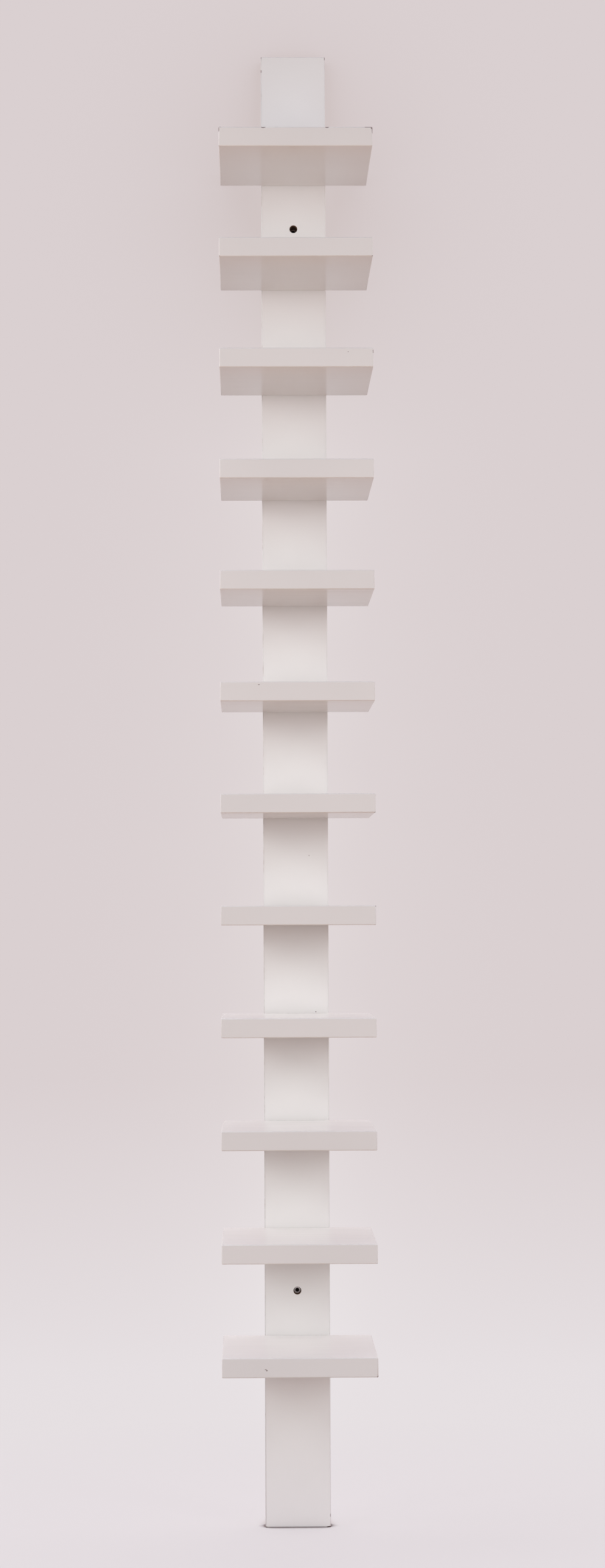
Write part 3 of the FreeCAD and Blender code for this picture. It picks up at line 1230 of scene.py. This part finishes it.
def pale_wall(studio):
    """A pane that is clear but for the boards' shade and glow on it, and clear from behind."""
    material, tree, output = stage_material("pale_wall")
    split = tree.nodes.new("ShaderNodeSeparateXYZ")
    tree.links.new(pattern_place(tree), split.inputs["Vector"])
    rising = spread(tree, split.outputs["Z"], 0.0, 1.0, *WALL_RISE)
    geometry = tree.nodes.new("ShaderNodeNewGeometry")
    from_room = inverse(tree, geometry.outputs["Backfacing"])
    closed = spread(tree, openness(tree, WALL_REACH), WALL_CLOSED, 0.0, start=0.0, end=1.0)
    hidden = spread(tree, openness(tree, HOLE_REACH), 1.0, 0.0, *HOLE_OPEN)
    shade = product(tree, from_room, joined(tree, "MAXIMUM", product(tree, rising, closed), hidden))
    stops = [
        (0.0, (1, 1, 1)),
        (WALL_TINTED, studio.wall_shade),
        (WALL_CLOSED, studio.wall_shade),
        (1.0, (0, 0, 0)),
    ]
    tone = shades(tree, shade, stops)
    clear = tree.nodes.new("ShaderNodeBsdfTransparent")
    tree.links.new(tone, clear.inputs["Color"])
    off_floor = spread(tree, split.outputs["Z"], 0.0, 1.0, *WALL_GLOW_RISE)
    in_sight = product(tree, from_room, inverse(tree, hidden))
    thrown = product(tree, closed, off_floor)
    glow = tree.nodes.new("ShaderNodeEmission")
    glow.inputs["Color"].default_value = (*studio.wall_glow, 1.0)
    tree.links.new(product(tree, in_sight, thrown), glow.inputs["Strength"])
    both = tree.nodes.new("ShaderNodeAddShader")
    tree.links.new(clear.outputs["BSDF"], both.inputs[0])
    tree.links.new(glow.outputs["Emission"], both.inputs[1])
    tree.links.new(both.outputs["Shader"], output.inputs["Surface"])
    return material


def add_stage_object(name, bm, material):
    thing = loose_object(bm, name, [material])
    return thing


def add_floor(studio):
    bm = bmesh.new()
    bmesh.ops.create_circle(bm, cap_ends=True, segments=FLOOR_SEGMENTS, radius=FLOOR_RADIUS)
    add_stage_object("floor", bm, pale_floor(studio))


def add_wall(studio):
    """A wall close behind the spine, which only shows the boards' shade and glow on the backdrop."""
    bm = bmesh.new()
    middle = Vector((0, SPINE_HIGH.y + WALL_BEHIND, WALL_TOP / 2))
    upright = Matrix.Rotation(QUARTER_TURN, 4, "X")
    size = Matrix.Diagonal((WALL_HALF_WIDTH, WALL_TOP / 2, 1.0, 1.0))
    place = Matrix.Translation(middle) @ upright @ size
    bmesh.ops.create_grid(bm, x_segments=1, y_segments=1, size=1.0, matrix=place)
    wall = add_stage_object("wall", bm, pale_wall(studio))
    wall.visible_diffuse = False
    wall.visible_glossy = False
    wall.visible_shadow = False


def light_air(studio):
    """Soft light all round, and the backdrop's tone for what sees past the object."""
    world = bpy.data.worlds.new("studio_air")
    world.use_nodes = True
    tree = world.node_tree
    tree.nodes.clear()
    place = tree.nodes.new("ShaderNodeTexCoord")
    split = tree.nodes.new("ShaderNodeSeparateXYZ")
    tree.links.new(place.outputs["Generated"], split.inputs["Vector"])
    height = spread(tree, split.outputs["Z"], 0.0, 1.0, start=-1.0, end=1.0)
    behind = spread(tree, split.outputs["Y"], 0.0, 1.0, *AIR_TURN)
    light = tree.nodes.new("ShaderNodeBackground")
    light.inputs["Strength"].default_value = AIR_STRENGTH
    air = blended(tree, behind, shades(tree, height, AIR_IN_FRONT), shades(tree, height, AIR_BEHIND))
    tree.links.new(air, light.inputs["Color"])
    rays = tree.nodes.new("ShaderNodeLightPath")
    seen = tree.nodes.new("ShaderNodeBackground")
    bend = spread(tree, split.outputs["Z"], 0.0, 1.0, *BACKDROP_BEND)
    tone = shades(tree, bend, [(0.0, studio.floor), (1.0, studio.backdrop)])
    tree.links.new(tone, seen.inputs["Color"])
    past_floor = spread(tree, split.outputs["Z"], 0.0, 1.0, *FLOOR_SIGHT)
    in_front = product(tree, inverse(tree, behind), past_floor)
    room = product(tree, rays.outputs["Is Glossy Ray"], in_front)
    tree.links.new(spread(tree, room, 1.0, ROOM_SHARE, start=0.0, end=1.0), seen.inputs["Strength"])
    any_sight = joined(tree, "MAXIMUM", rays.outputs["Is Camera Ray"], rays.outputs["Is Glossy Ray"])
    any_sight = joined(tree, "MAXIMUM", any_sight, rays.outputs["Is Transmission Ray"])
    mix = tree.nodes.new("ShaderNodeMixShader")
    output = tree.nodes.new("ShaderNodeOutputWorld")
    tree.links.new(any_sight, mix.inputs["Fac"])
    tree.links.new(light.outputs["Background"], mix.inputs[1])
    tree.links.new(seen.outputs["Background"], mix.inputs[2])
    tree.links.new(mix.outputs["Shader"], output.inputs["Surface"])
    bpy.context.scene.world = world


def add_softbox(name, place, size, power):
    """A softbox turned to the bookshelf's middle, and too soft to glare."""
    lamp = bpy.data.lights.new(name, "AREA")
    lamp.shape = "RECTANGLE"
    lamp.size, lamp.size_y = size
    lamp.energy = power
    lamp.color = SOFTBOX_TINT
    softbox = bpy.data.objects.new(name, lamp)
    bpy.context.collection.objects.link(softbox)
    softbox.location = place
    target = Vector((0, (CAD_BOX[0].y + SPINE_HIGH.y) / 2, (CAD_BOX[0].z + CAD_BOX[1].z) / 2))
    softbox.rotation_euler = (target - softbox.location).to_track_quat("-Z", "Y").to_euler()
    softbox.visible_glossy = False


def add_camera(studio):
    lens = bpy.data.cameras.new("camera")
    lens.sensor_fit = "AUTO"
    lens.sensor_width = SENSOR
    lens.lens = studio.camera_lens
    camera = bpy.data.objects.new("camera", lens)
    bpy.context.collection.objects.link(camera)
    turn = Matrix.Rotation(-studio.camera_yaw, 4, "Z")
    tilt = Matrix.Rotation(QUARTER_TURN + studio.camera_pitch, 4, "X")
    roll = Matrix.Rotation(studio.camera_roll, 4, "Z")
    camera.matrix_world = Matrix.Translation(studio.camera_place) @ turn @ tilt @ roll
    bpy.context.scene.camera = camera


class BOOKSHELF_OT_stage(bpy.types.Operator):
    """Makes the floor, wall, lights and camera"""

    bl_idname = "bookshelf.stage"
    bl_label = "Stage"

    def execute(self, context):
        studio = context.scene.bookshelf_studio
        context.scene.view_settings.view_transform = "Standard"
        add_floor(studio)
        add_wall(studio)
        light_air(studio)
        for place in FRONT_SOFTBOXES:
            add_softbox("front_softbox", place, FRONT_SOFTBOX_SIZE, studio.front_power)
        add_softbox("left_softbox", LEFT_SOFTBOX, SIDE_SOFTBOX_SIZE, studio.left_power)
        add_softbox("right_softbox", RIGHT_SOFTBOX, SIDE_SOFTBOX_SIZE, studio.right_power)
        add_camera(studio)
        return {"FINISHED"}


class VIEW3D_PT_bookshelf(bpy.types.Panel):
    """Sizes, finishes and pieces of the bookshelf"""

    bl_label = "Spine Bookshelf"
    bl_space_type = "VIEW_3D"
    bl_region_type = "UI"
    bl_category = "Bookshelf"

    def draw(self, context):
        scene = context.scene
        for group in (scene.bookshelf_sizes, scene.bookshelf_finish, scene.bookshelf_studio):
            box = self.layout.box()
            for name in group.__annotations__:
                box.prop(group, name)
        for operator in OPERATORS:
            self.layout.operator(operator.bl_idname)


GROUPS = {
    "bookshelf_sizes": BookshelfSizes,
    "bookshelf_finish": BookshelfFinish,
    "bookshelf_studio": BookshelfStudio,
}
OPERATORS = [
    BOOKSHELF_OT_spine_board,
    BOOKSHELF_OT_shelf_boards,
    BOOKSHELF_OT_shelf_dowels,
    BOOKSHELF_OT_shelf_screws,
    BOOKSHELF_OT_wall_screw,
    BOOKSHELF_OT_stage,
]


def register():
    for group in GROUPS.values():
        bpy.utils.register_class(group)
    for name, group in GROUPS.items():
        setattr(bpy.types.Scene, name, bpy.props.PointerProperty(type=group))
    for operator in OPERATORS:
        bpy.utils.register_class(operator)
    bpy.utils.register_class(VIEW3D_PT_bookshelf)


def unregister():
    bpy.utils.unregister_class(VIEW3D_PT_bookshelf)
    for operator in reversed(OPERATORS):
        bpy.utils.unregister_class(operator)
    for name, group in GROUPS.items():
        delattr(bpy.types.Scene, name)
        bpy.utils.unregister_class(group)


def main():
    register()
    bpy.ops.bookshelf.spine_board()
    bpy.ops.bookshelf.shelf_boards()
    bpy.ops.bookshelf.shelf_dowels()
    bpy.ops.bookshelf.shelf_screws()
    bpy.ops.bookshelf.wall_screw()
    bpy.ops.bookshelf.stage()


if __name__ == "__main__":
    main()
